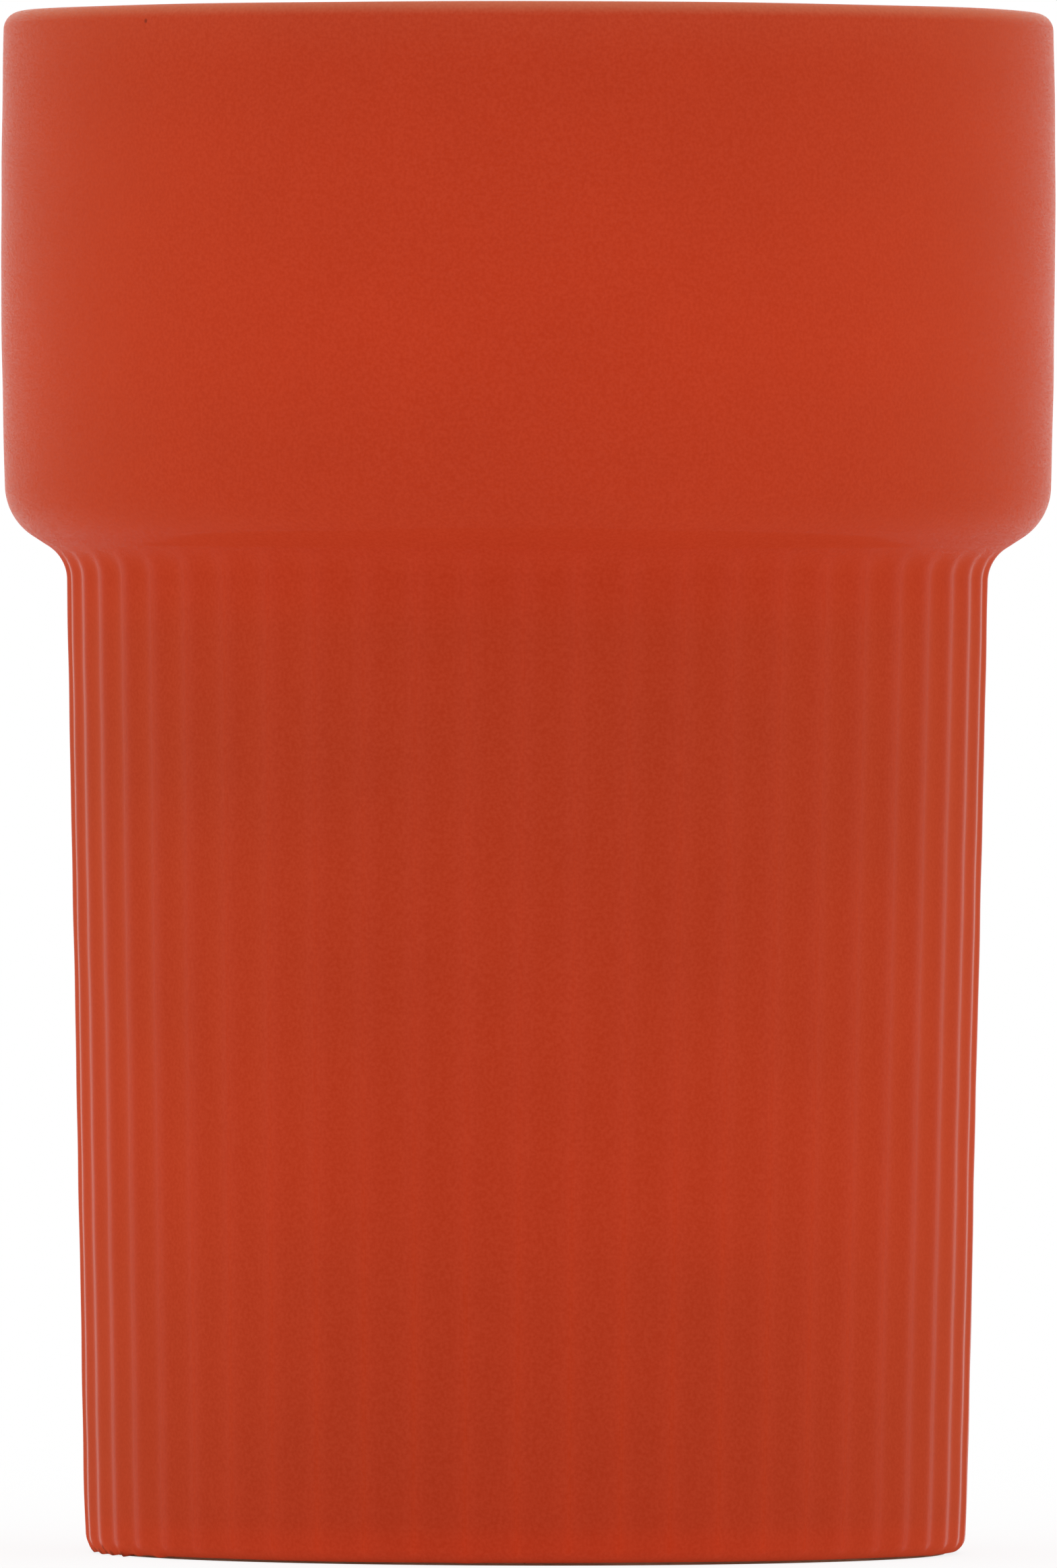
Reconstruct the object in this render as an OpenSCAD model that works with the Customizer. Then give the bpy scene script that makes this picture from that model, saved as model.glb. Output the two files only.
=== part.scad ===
// Cup with a smooth barrel collar, a rounded shoulder and a fluted wall that tapers to the foot.
// One fired clay body carries a coloured coat that turns over the lip, a glaze inside and a glaze
// in the recess of the foot. Origin at the centre of the foot, +Z up, sizes in millimetres.

/* [Cup] */
// Height from the table to the crest of the lip
cup_h = 116.9; // [110:0.1:126]
// Thickness of the wall with its coat and its glaze, which is the width of the lip too
wall_t = 2.7; // [2.2:0.1:3.4]
// Thickness of the floor above the recess, with its glazes
floor_t = 4.2; // [3:0.1:7]
// Rounding inside, where the floor meets the wall
floor_round = 7; // [3:0.5:12]

/* [Collar] */
// Diameter of the collar at its widest line
collar_d = 80; // [77:0.1:84]
// Height of the collar's widest line
belly_z = 100.9; // [94:0.1:106]
// Radius of the collar's barrel curve, seen in profile
belly_round = 710; // [400:10:1500]

/* [Shoulder] */
// Height at which the collar turns into the shoulder
shoulder_z = 80.9; // [70:0.1:88]
// Height of the whole turn, from the collar to the fluted wall
shoulder_h = 7.05; // [6.5:0.05:9]
// Width of the whole turn, from the collar's lower end in to the ridges of the fluted wall
shoulder_w = 4.72; // [3.8:0.01:5.6]
// Rounding at the lower end of the collar
shoulder_round = 4.65; // [3.5:0.05:5]
// Cove between the shoulder and the fluted wall
cove_round = 3.05; // [2.4:0.05:3.4]

/* [Fluted wall] */
// Amount by which the wall's radius shrinks from the cove to the table
taper_w = 1.55; // [0.5:0.05:3]
// Number of flutes round the wall
flute_count = 54; // [36:1:64]
// Depth of a flute under a straightedge that lies across its two ridges
flute_depth = 0.17; // [0.1:0.01:0.4]
// Width of the ridge that two flutes leave between them at the foot
ridge_w = 0.35; // [0.2:0.05:0.8]

/* [Foot] */
// Rounding of the outer edge of the base
base_round = 1.4; // [1:0.1:2]
// Width of the bare ring that the cup stands on
foot_w = 3.4; // [2.5:0.1:6]
// Depth of the recess inside the bare ring
recess_h = 1.6; // [1.2:0.1:2.4]
// Rounding in the corner of the recess
recess_round = 1; // [0.5:0.1:1.2]

/* [Coats] */
// Thickness of the coat, of the glaze inside and of the glaze in the recess
coat_t = 0.3; // [0.2:0.05:0.4]
// Height that the clay's rounding stays bare, from its underside up to the edge of the coat
bare_h = 0.1; // [0.05:0.05:0.5]
// Angle round the lip's section, from its outer side, at which the coat ends and the glaze begins
coat_lip_angle = 135; // [100:1:160]

/* [Hidden] */
$fn = 180;

// Amount by which a rounding runs past the faces that it joins, so that they cross cleanly
blend_lap = 0.005;
// Amount by which a cut runs past the face that it opens
overrun = 1;
// Share of the cove's rounding with which the flutes turn outwards, so that they run out in the cove
flute_turn_share = 0.6;
// Angles by which the cutter of a turning flute reaches below the wall's end and above it
flute_lead_angle = 15;
flute_exit_angle = 80;
// Angle round the lip's section, below its inner side, at which the lip's own glaze ends
glaze_lip_angle = 225;
// Largest share of the room between collar and wall that the shoulder's two roundings take
turn_room_share = 0.98;

floor_z = recess_h + floor_t;
coat_edge_z = coat_t + bare_h;
lip_z = cup_h - wall_t / 2;
reach = collar_d + cup_h;

// Collar: an arc about belly_c, down to the point where the shoulder begins
belly_c = [collar_d / 2 - belly_round, belly_z];
collar_n = normal(asin((shoulder_z - belly_z) / belly_round));
collar_end = belly_c + belly_round * collar_n;

// Fluted wall: a straight taper up to the point where the cove begins
cove_z = shoulder_z - shoulder_h;
taper = atan(taper_w / cove_z);
wall_n = normal(-taper);
wall_end = [collar_end[0] - shoulder_w, cove_z];

// Shoulder: two arcs and the slope that touches both
turn = collar_end - wall_end;
turn_fill = 2 * turn * (shoulder_round * collar_n + cove_round * wall_n);
turn_share = min(1, turn_room_share * turn * turn / turn_fill);
shoulder_r = turn_share * shoulder_round;
cove_r = turn_share * cove_round;
shoulder_c = collar_end - shoulder_r * collar_n;
cove_c = wall_end + cove_r * wall_n;
between = cove_c - shoulder_c;
slope = -atan2(between[1], between[0]) - acos(min(1, (shoulder_r + cove_r) / norm(between)));
slope_n = normal(-slope);

// Flutes: a round groove whose two edges leave the ridge's width at the foot
wall_base_r = wall_end[0] - taper_w;
flute_pitch = 360 / flute_count;
flute_w = 2 * wall_base_r * sin(flute_pitch / 2) - ridge_w;
flute_drop = flute_depth + wall_base_r - sqrt(wall_base_r * wall_base_r - flute_w * flute_w / 4);
flute_r = (flute_w * flute_w / 4 + flute_depth * flute_depth) / (2 * flute_depth);
flute_cut_w = flute_w + ridge_w / 2;
flute_turn_r = flute_turn_share * cove_r;
flute_turn_c = wall_end + flute_turn_r * wall_n;

// Foot: the bare ring starts where the base's rounding meets the table
foot_r = edge_c(0, 0, base_round)[0];
recess_r = foot_r - foot_w;

// Unit vector at an angle to the radial direction, in the profile's plane
function normal(a) = [cos(a), sin(a)];

// Radius of the barrel curve at a height, at a depth under the outer face
function collar_r(z, depth) =
    belly_c[0] + sqrt(pow(belly_round - depth, 2) - pow(z - belly_z, 2));

// Radius of the straight wall at a height, at a depth under the outer face
function wall_r(z, depth) = wall_base_r + z * tan(taper) - depth / cos(taper);

// Centre of the rounding between the straight wall and a level floor
function edge_c(depth, level, rounding) = [wall_r(level + rounding, depth + rounding), level + rounding];

// Point where the straight wall and the shoulder's slope would meet without the cove
function cove_corner(depth) =
    let (back = (cove_r + depth) / cos((slope - taper) / 2))
    cove_c - back * normal(-(slope + taper) / 2);

// Centre and radius of the lip's round, at a depth under the outer face
function lip_c() = [(collar_r(lip_z, 0) + collar_r(lip_z, wall_t)) / 2, lip_z];
function lip_r(depth) = (collar_r(lip_z, depth) - collar_r(lip_z, wall_t - depth)) / 2;

// Filled half profile, from the axis to the cup's side at a depth under the outer face.
// It reaches from a level, with its corner rounded, to the centre of the lip.
module side_profile(depth, level, rounding) {
    corner = edge_c(depth, level, rounding);
    shoulder_end = shoulder_c + (shoulder_r - depth) * slope_n;
    collar_low = belly_c + (belly_round - depth) * collar_n;
    polygon([
        [0, level],
        [corner[0], level],
        corner + rounding * wall_n,
        cove_corner(depth),
        shoulder_end,
        collar_low,
        [shoulder_c[0], collar_low[1] + shoulder_r],
        [0, collar_low[1] + shoulder_r]
    ]);
    translate(corner) circle(rounding + blend_lap);
    translate(shoulder_c) circle(shoulder_r - depth + blend_lap);
    cove_fill(depth);
    intersection() {
        translate(belly_c) circle(belly_round - depth);
        translate([0, collar_low[1]]) square([collar_d, lip_z - collar_low[1]]);
    }
}

// Material that rounds the corner between the wall and the slope
module cove_fill(depth) {
    behind = depth + wall_t / 2;
    difference() {
        polygon([
            cove_c - (cove_r + depth) * slope_n,
            cove_c - (cove_r + behind) * slope_n,
            cove_corner(behind),
            cove_c - (cove_r + behind) * wall_n,
            cove_c - (cove_r + depth) * wall_n
        ]);
        translate(cove_c) circle(cove_r + depth + blend_lap);
    }
}

// Round section of the lip, at a depth under the outer face
module lip_round(depth) {
    translate(lip_c()) circle(lip_r(depth) + blend_lap);
}

// Part of the plane around the lip between two angles seen from the lip's centre
module lip_sector(from, to) {
    far = reach / cos((to - from) / 4);
    translate(lip_c()) polygon([
        [0, 0],
        reach * normal(from),
        far * normal((from * 3 + to) / 4),
        reach * normal((from + to) / 2),
        far * normal((from + to * 3) / 4),
        reach * normal(to)
    ]);
}

// Half profile of the recess under the floor, grown by a depth
module recess_profile(depth) {
    corner_r = recess_r - recess_round;
    corner_z = recess_h - recess_round;
    translate([0, -overrun]) square([recess_r + depth, overrun + corner_z]);
    translate([0, -overrun]) square([corner_r, overrun + recess_h + depth]);
    translate([corner_r, corner_z]) circle(recess_round + depth + blend_lap);
}

// Half profile of the fired clay
module clay_profile() {
    difference() {
        union() {
            side_profile(coat_t, coat_t, base_round - coat_t);
            square([foot_r, base_round]);
        }
        side_profile(wall_t - coat_t, floor_z - coat_t, floor_round + coat_t);
        recess_profile(coat_t);
    }
    lip_round(coat_t);
}

// Section of one flute: x points out of the wall and is zero on the ridges
module flute_section() {
    intersection() {
        translate([flute_r - flute_drop, 0]) circle(flute_r);
        translate([-flute_drop - overrun, -flute_cut_w / 2])
            square([flute_drop + 2 * overrun, flute_cut_w]);
    }
}

// Straight stretch of the flutes, from the cove down through the edge of the base
module wall_flutes(depth) {
    start = wall_end - depth * wall_n;
    run = cove_z / cos(taper) + overrun;
    for (i = [0 : flute_count - 1])
        rotate([0, 0, i * flute_pitch])
            translate([start[0], 0, start[1]])
                rotate([0, taper, 0])
                    translate([0, 0, -run])
                        linear_extrude(height = run) flute_section();
}

// Curved stretch of the flutes, which turns outwards in the cove and runs out there
module cove_flutes(depth) {
    first = 180 - taper - flute_exit_angle;
    last = 180 - taper + flute_lead_angle;
    for (i = [0 : flute_count - 1])
        rotate([0, 0, i * flute_pitch])
            translate([flute_turn_c[0], 0, flute_turn_c[1]])
                rotate([90, 0, 0])
                    rotate([0, 0, first])
                        rotate_extrude(angle = last - first)
                            translate([flute_turn_r + depth + blend_lap, 0])
                                mirror([1, 0]) flute_section();
}

// Cuts both stretches of the flutes into a revolved solid
module fluted(depth) {
    difference() {
        difference() {
            children();
            wall_flutes(depth);
        }
        cove_flutes(depth);
    }
}

// Fired clay: fluted wall, collar, floor and the bare ring that the cup stands on
module clay_body() {
    color("#b98a6a")
    fluted(coat_t)
        rotate_extrude() clay_profile();
}

// Coloured coat over the outside, from the lip to just above the table
module outer_coat() {
    color("#b93a21")
    difference() {
        fluted(0)
            rotate_extrude() difference() {
                union() {
                    side_profile(0, 0, base_round);
                    lip_round(0);
                }
                translate([0, -overrun]) square([reach, overrun + coat_edge_z]);
                lip_sector(coat_lip_angle, glaze_lip_angle);
            }
        fluted(coat_t)
            rotate_extrude() {
                side_profile(coat_t, coat_t, base_round - coat_t);
                lip_round(coat_t);
            }
    }
}

// Glaze that lines the inside, from the lip to the floor
module liner_glaze() {
    color("#b83d25")
    rotate_extrude() difference() {
        union() {
            side_profile(wall_t - coat_t, floor_z - coat_t, floor_round + coat_t);
            intersection() {
                lip_round(0);
                lip_sector(coat_lip_angle, glaze_lip_angle);
            }
        }
        side_profile(wall_t, floor_z, floor_round);
        clay_profile();
    }
}

// Glaze in the recess of the foot
module recess_glaze() {
    color("#b04030")
    rotate_extrude() difference() {
        recess_profile(coat_t);
        recess_profile(0);
        translate([0, -overrun]) square([reach, overrun + coat_edge_z]);
    }
}

clay_body();
outer_coat();
liner_glaze();
recess_glaze();
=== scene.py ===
"""Dresses the fluted clay cup: the fired clay, its matte coat, its glazes and the plain table under it."""
import logging
import math
from dataclasses import dataclass
from enum import Enum
from functools import cached_property
from typing import Any, Sequence

import bpy
import numpy as np
from mathutils import Matrix, Vector


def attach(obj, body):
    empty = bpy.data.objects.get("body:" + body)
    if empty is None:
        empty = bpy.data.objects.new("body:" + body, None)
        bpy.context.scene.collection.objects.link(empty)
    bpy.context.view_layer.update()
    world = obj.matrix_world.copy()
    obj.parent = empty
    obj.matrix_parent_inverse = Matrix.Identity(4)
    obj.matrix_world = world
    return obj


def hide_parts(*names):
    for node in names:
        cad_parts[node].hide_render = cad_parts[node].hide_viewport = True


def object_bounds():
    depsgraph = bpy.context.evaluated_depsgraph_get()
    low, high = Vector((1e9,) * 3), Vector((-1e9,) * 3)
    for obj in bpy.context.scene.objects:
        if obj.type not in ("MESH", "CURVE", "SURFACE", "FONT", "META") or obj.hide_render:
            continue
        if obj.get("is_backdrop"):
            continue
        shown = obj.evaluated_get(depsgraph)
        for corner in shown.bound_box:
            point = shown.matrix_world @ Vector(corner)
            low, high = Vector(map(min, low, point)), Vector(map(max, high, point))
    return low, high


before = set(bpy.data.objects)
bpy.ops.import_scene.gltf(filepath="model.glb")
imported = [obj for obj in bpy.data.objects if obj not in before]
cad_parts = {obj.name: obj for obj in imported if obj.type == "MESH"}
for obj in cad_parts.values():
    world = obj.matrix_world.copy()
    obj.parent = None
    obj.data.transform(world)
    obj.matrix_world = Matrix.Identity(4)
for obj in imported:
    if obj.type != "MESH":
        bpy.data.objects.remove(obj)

LOG = logging.getLogger("fluted_cup")
MM = 0.001
FULL_TURN = 2.0 * math.pi
BODY = "root"

Colour = tuple[float, float, float]
Point = tuple[float, float]
Range = tuple[float, float]
Socket = bpy.types.NodeSocket

PLAIN: Colour = (1.0, 1.0, 1.0)
CLOUD_RANGE: Range = (0.25, 0.75)


class Slot(Enum):
    """Material slots of the cup's pieces."""

    CLAY = "fired_clay"
    COAT = "matte_coat"
    LINER = "liner"
    RECESS = "recess"


class Node(Enum):
    """Solids of the frame that the dressed pieces stand for."""

    CLAY = "clay_body"
    COAT = "outer_coat"
    LINER = "liner_glaze"
    RECESS = "recess_glaze"


def smooth(share: float) -> float:
    """Eases a share between zero and one, and holds it at these ends."""
    share = min(1.0, max(0.0, share))
    return share * share * (3.0 - 2.0 * share)


def direction(angle: float) -> np.ndarray:
    """Gives the unit vector at an angle to the first axis of a plane."""
    return np.array((math.cos(angle), math.sin(angle)))


def even_angles(count: int) -> np.ndarray:
    """Gives evenly spaced angles round the cup's axis."""
    return np.arange(count) * FULL_TURN / count


def opaque(colour: Colour) -> tuple[float, float, float, float]:
    """Adds a full alpha to a colour."""
    return (*colour, 1.0)


@dataclass(frozen=True)
class Station:
    """One ring of a turned surface.

    The normal points out of the clay. flute is the share of a full flute that the ring carries, and
    edge is the distance by which the base's rounding has already left the straight wall.
    """

    place: Point
    normal: Point
    flute: float = 0.0
    edge: float | None = None


@dataclass(frozen=True)
class Flutes:
    """Shallow flutes that meet in soft rounded ridges.

    The section is a wave, and narrowing is the share of a second wave that makes the ridges narrower
    than the hollows between them. The clay turned a little in the kiln: lean is the turn for each metre
    of height, and the flutes stand at their even angles at plumb_level. Below filled_level the coat fills
    them so far that filled_share of their depth is left, and above open_level they have all of it.
    samples and hidden_samples are the columns for each flute on seen and covered faces.
    """

    count: int = 54
    depth: float = 0.125 * MM
    narrowing: float = 0.10
    lean: float = math.radians(9.4)
    plumb_level: float = 45.0 * MM
    filled_level: float = 12.0 * MM
    filled_share: float = 0.3
    open_level: float = 40.0 * MM
    samples: int = 20
    hidden_samples: int = 8

    @property
    def pitch(self) -> float:
        """Angle from one ridge to the next."""
        return FULL_TURN / self.count

    def angles(self, samples: int) -> np.ndarray:
        """Gives the angles of a turned surface's columns."""
        return np.arange(self.count * samples) * self.pitch / samples

    def groove(self, angles: np.ndarray) -> np.ndarray:
        """Gives the depth under the ridges, zero on the ridges themselves.

        Args:
            angles: Angles round the axis, before the lean.

        Returns:
            The depth at each angle.
        """
        phase = FULL_TURN * (angles / self.pitch - 0.5)
        wave = 1.0 - np.cos(phase)
        second = 1.0 - np.cos(2.0 * phase)
        return self.depth / 2.0 * (wave + self.narrowing / 2.0 * second)

    def turn(self, level: float) -> float:
        """Gives the angle by which the lean has turned the flutes at a height."""
        return self.lean * (level - self.plumb_level)

    def open_share(self, level: float) -> float:
        """Gives the share of the depth that the coat leaves open at a height."""
        rise = (level - self.filled_level) / (self.open_level - self.filled_level)
        return self.filled_share + (1.0 - self.filled_share) * smooth(rise)


@dataclass(frozen=True)
class Unevenness:
    """Slow, shallow waves that pressed and fired clay keeps.

    waves holds the number round the axis, the number in each metre of height and the phase of each.
    """

    swell: float = 0.018 * MM
    waves: tuple[tuple[int, float, float], ...] = (
        (2, 21.0, 0.4), (3, 47.0, 1.9), (5, 33.0, 4.1), (7, 88.0, 2.6), (11, 140.0, 5.3),
    )

    def at(self, angles: np.ndarray, level: float) -> np.ndarray:
        """Gives the swell on one ring.

        Args:
            angles: Angles round the axis.
            level: Height above the table.

        Returns:
            The swell at each angle.
        """
        total = np.zeros_like(angles)
        for turns, climb, phase in self.waves:
            total += np.sin(turns * angles + climb * FULL_TURN * level + phase)
        return self.swell * total / math.sqrt(len(self.waves))


@dataclass(frozen=True)
class EdgeBeads:
    """Small beads of coat that dried at its lower edge.

    beads holds the angle round the axis in degrees, the half width in degrees and the size of each, and
    reach is the height at which they end. out and down are the shares of a bead's size by which it stands
    out of the wall and hangs below the edge.
    """

    beads: tuple[tuple[float, float, float], ...] = (
        (-173.5, 3.0, 0.24 * MM), (-166.0, 3.2, 0.26 * MM), (-160.6, 2.0, 0.24 * MM),
        (-156.4, 0.9, 0.30 * MM), (-152.0, 0.9, 0.12 * MM), (-146.3, 1.2, 0.16 * MM),
        (-97.0, 1.6, 0.05 * MM), (-20.0, 1.2, 0.05 * MM), (36.0, 2.0, 0.09 * MM), (112.0, 1.4, 0.10 * MM),
    )
    reach: float = 0.9 * MM
    out: float = 0.9
    down: float = 0.95

    def at(self, angles: np.ndarray, level: float) -> np.ndarray:
        """Gives the size of the beads on one ring.

        Args:
            angles: Angles round the axis.
            level: Height above the table.

        Returns:
            The size at each angle.
        """
        total = np.zeros_like(angles)
        for turn, width, size in self.beads:
            away = np.angle(np.exp(1j * (angles - math.radians(turn)))) / math.radians(width)
            total += size * np.exp(-away**2)
        return total * max(0.0, 1.0 - level / self.reach)


@dataclass(frozen=True)
class RingCounts:
    """Numbers of steps along each stretch of the outline, first outside, then inside and on the lip.

    fewest holds for a stretch that is made with less detail. disc and recess_disc count rings.
    """

    edge: int = 12
    wall: int = 64
    cove: int = 18
    slope: int = 8
    turn: int = 18
    collar: int = 36
    fewest: int = 3
    disc: int = 16
    corner: int = 18
    inner_wall: int = 12
    inner_cove: int = 14
    inner_slope: int = 4
    inner_turn: int = 12
    inner_collar: int = 14
    recess_disc: int = 14
    recess_corner: int = 12
    coat_lip: int = 26
    coat_lip_back: int = 8
    clay_lip: int = 20
    glaze_lip: int = 12
    glaze_lip_back: int = 6


@dataclass(frozen=True)
class CupOutline:
    """Half outline of the cup, from which every surface is taken at a depth under the outer face.

    disc_span holds the shares of a disc's radius at which its first and last rings lie.
    """

    height: float
    collar_radius: float
    wall: float = 2.7 * MM
    floor: float = 4.2 * MM
    floor_round: float = 7.0 * MM
    belly_level: float = 100.9 * MM
    belly_round: float = 710.0 * MM
    shoulder_level: float = 80.9 * MM
    shoulder_drop: float = 7.05 * MM
    shoulder_round: float = 4.65 * MM
    shoulder_width: float = 4.72 * MM
    cove_round: float = 3.05 * MM
    taper_width: float = 1.55 * MM
    base_round: float = 1.4 * MM
    foot_width: float = 3.4 * MM
    recess_depth: float = 1.6 * MM
    recess_round: float = 1.0 * MM
    coat: float = 0.3 * MM
    coat_edge: float = 0.22 * MM
    coat_turn: float = math.radians(135.0)
    flute_top: float = 76.7 * MM
    flute_fade: float = 3.0 * MM
    disc_span: Range = (0.002, 0.96)
    flutes: Flutes = Flutes()
    rings: RingCounts = RingCounts()

    @cached_property
    def belly_centre(self) -> np.ndarray:
        """Centre of the collar's barrel curve."""
        return np.array((self.collar_radius - self.belly_round, self.belly_level))

    @cached_property
    def collar_angle(self) -> float:
        """Angle of the face where the collar turns into the shoulder."""
        return math.asin((self.shoulder_level - self.belly_level) / self.belly_round)

    @cached_property
    def wall_end(self) -> np.ndarray:
        """Upper end of the fluted wall, on its ridges."""
        collar_end = self.belly_centre + self.belly_round * direction(self.collar_angle)
        return collar_end - np.array((self.shoulder_width, self.shoulder_drop))

    @cached_property
    def taper(self) -> float:
        """Lean of the fluted wall."""
        return math.atan(self.taper_width / self.wall_end[1])

    @cached_property
    def shoulder_centre(self) -> np.ndarray:
        """Centre of the rounding at the lower end of the collar."""
        return self.belly_centre + (self.belly_round - self.shoulder_round) * direction(self.collar_angle)

    @cached_property
    def cove_centre(self) -> np.ndarray:
        """Centre of the cove between the shoulder and the fluted wall."""
        return self.wall_end + self.cove_round * direction(-self.taper)

    @cached_property
    def slope(self) -> float:
        """Slope of the shoulder, which touches its rounding and the cove.

        Returns:
            The angle below the horizontal to which the slope faces.
        """
        across, up = self.cove_centre - self.shoulder_centre
        reach = (self.shoulder_round + self.cove_round) / math.hypot(across, up)
        return -math.atan2(up, across) - math.acos(min(1.0, reach))

    @cached_property
    def lip_level(self) -> float:
        """Height of the centre of the lip's round."""
        return self.height - self.wall / 2.0

    @cached_property
    def lip_centre(self) -> np.ndarray:
        """Centre of the lip's round."""
        return np.array((self.collar_at(self.lip_level, self.wall / 2.0), self.lip_level))

    @property
    def floor_level(self) -> float:
        """Height of the floor inside the cup."""
        return self.recess_depth + self.floor

    @property
    def foot_radius(self) -> float:
        """Outer radius of the bare ring that the cup stands on."""
        return float(self.edge_centre(0.0, 0.0, self.base_round)[0])

    def collar_at(self, level: float, depth: float) -> float:
        """Gives the collar's radius at a height, at a depth under the outer face."""
        rise = level - self.belly_level
        return self.belly_centre[0] + math.sqrt((self.belly_round - depth) ** 2 - rise**2)

    def wall_at(self, level: float, depth: float) -> float:
        """Gives the fluted wall's ridge radius at a height, at a depth under the outer face."""
        base = self.wall_end[0] - self.taper_width
        return base + level * math.tan(self.taper) - depth / math.cos(self.taper)

    def edge_centre(self, depth: float, level: float, rounding: float) -> np.ndarray:
        """Gives the centre of the rounding between the wall and a level floor."""
        return np.array((self.wall_at(level + rounding, depth + rounding), level + rounding))

    def run_out(self, level: float) -> float:
        """Gives the share of a flute that is left at a height, where it fades out in the cove."""
        return smooth((self.flute_top - level) / self.flute_fade)

    @staticmethod
    def arc(centre: np.ndarray, radius: float, start: float, end: float, steps: int,
            hollow: bool = False) -> list[Station]:
        """Makes the stations of an arc.

        Args:
            centre: Centre of the arc.
            radius: Radius of the arc.
            start: Angle of the first normal.
            end: Angle of the last normal.
            steps: Number of steps from the first to the last.
            hollow: True where the clay lies outside the arc.

        Returns:
            The stations, from start to end.
        """
        side = -1.0 if hollow else 1.0
        stations = []
        for angle in np.linspace(start, end, steps + 1):
            out = direction(angle)
            stations.append(Station(tuple(centre + side * radius * out), tuple(out)))
        return stations

    def base_edge(self, depth: float, lowest: float, steps: int) -> list[Station]:
        """Makes the rounding of the base, up to the straight wall.

        Args:
            depth: Depth under the outer face.
            lowest: Level at which the rounding begins.
            steps: Number of steps along it.

        Returns:
            The stations, from the bottom up.
        """
        centre = self.edge_centre(0.0, 0.0, self.base_round)
        radius = self.base_round - depth
        start = math.asin(max(-1.0, (lowest - centre[1]) / radius))
        stations = []
        for plain in self.arc(centre, radius, start, -self.taper, steps)[:-1]:
            gone = self.wall_at(plain.place[1], depth) - plain.place[0]
            stations.append(Station(plain.place, plain.normal, edge=gone))
        return stations

    def fluted_wall(self, depth: float, steps: int) -> list[Station]:
        """Makes the straight fluted wall, from the base's rounding to the cove.

        Args:
            depth: Depth under the outer face.
            steps: Number of steps along it.

        Returns:
            The stations, from the bottom up.
        """
        out = direction(-self.taper)
        low = self.edge_centre(0.0, 0.0, self.base_round) + (self.base_round - depth) * out
        high = self.cove_centre - (self.cove_round + depth) * out
        shares = np.linspace(0.0, 1.0, steps + 1)[:-1]
        places = [low + share * (high - low) for share in shares]
        return [Station(tuple(place), tuple(out), flute=self.run_out(place[1])) for place in places]

    def shoulder(self, depth: float, cove_steps: int, slope_steps: int, turn_steps: int) -> list[Station]:
        """Makes the cove in which the flutes run out, the slope and the rounding under the collar.

        Args:
            depth: Depth under the outer face.
            cove_steps: Number of steps along the cove.
            slope_steps: Number of steps along the slope.
            turn_steps: Number of steps along the rounding.

        Returns:
            The stations, from the bottom up.
        """
        cove = self.arc(self.cove_centre, self.cove_round + depth, -self.taper, -self.slope, cove_steps,
                        hollow=True)
        turn = self.arc(self.shoulder_centre, self.shoulder_round - depth, -self.slope, self.collar_angle,
                        turn_steps)
        stations = [Station(each.place, each.normal, flute=self.run_out(each.place[1])) for each in cove]
        start, end = np.array(cove[-1].place), np.array(turn[0].place)
        for share in np.linspace(0.0, 1.0, slope_steps + 1)[1:-1]:
            stations.append(Station(tuple(start + share * (end - start)), cove[-1].normal))
        return [*stations, *turn[:-1]]

    def collar(self, depth: float, steps: int) -> list[Station]:
        """Makes the collar's barrel curve, up to the centre of the lip."""
        top = math.asin((self.lip_level - self.belly_level) / (self.belly_round - depth))
        return self.arc(self.belly_centre, self.belly_round - depth, self.collar_angle, top, steps)[:-1]

    def lip(self, depth: float, start: float, end: float, steps: int) -> list[Station]:
        """Makes a stretch of the lip's round between two angles."""
        outer, inner = (self.collar_at(self.lip_level, each) for each in (depth, self.wall - depth))
        return self.arc(self.lip_centre, (outer - inner) / 2.0, start, end, steps)

    def outside(self, depth: float, lowest: float, detail: float) -> list[Station]:
        """Makes the whole outer face at a depth, up to the end of the collar.

        Args:
            depth: Depth under the outer face.
            lowest: Level at which the face begins on the base's rounding.
            detail: Share of the full number of rings.

        Returns:
            The stations, from the bottom up.
        """
        def steps(full: int) -> int:
            """Gives the number of steps along a stretch."""
            return max(self.rings.fewest, round(full * detail))

        rings = self.rings
        return [
            *self.base_edge(depth, lowest, steps(rings.edge)),
            *self.fluted_wall(depth, steps(rings.wall)),
            *self.shoulder(depth, steps(rings.cove), steps(rings.slope), steps(rings.turn)),
            *self.collar(depth, steps(rings.collar)),
        ]

    def inside(self, depth: float, level: float, rounding: float) -> list[Station]:
        """Makes the cup's inner face at a depth, from the axis of the floor up to the lip's centre.

        Args:
            depth: Depth of the wall's inner face under the outer face.
            level: Height of the floor.
            rounding: Rounding between the floor and the wall.

        Returns:
            The stations, with normals that point out of the cup.
        """
        rings = self.rings
        centre = self.edge_centre(depth, level, rounding)
        shares = np.linspace(*self.disc_span, rings.disc)
        floor = [Station((share * centre[0], level), (0.0, -1.0)) for share in shares]
        corner = self.arc(centre, rounding, -math.pi / 2.0, -self.taper, rings.corner)
        out = direction(-self.taper)
        low = np.array(corner[-1].place)
        high = self.cove_centre - (self.cove_round + depth) * out
        shares = np.linspace(0.0, 1.0, rings.inner_wall + 1)[1:-1]
        wall = [Station(tuple(low + share * (high - low)), tuple(out)) for share in shares]
        shoulder = self.shoulder(depth, rings.inner_cove, rings.inner_slope, rings.inner_turn)
        turn = [Station(each.place, each.normal) for each in shoulder]
        return [*floor, *corner, *wall, *turn, *self.collar(depth, rings.inner_collar)]

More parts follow.
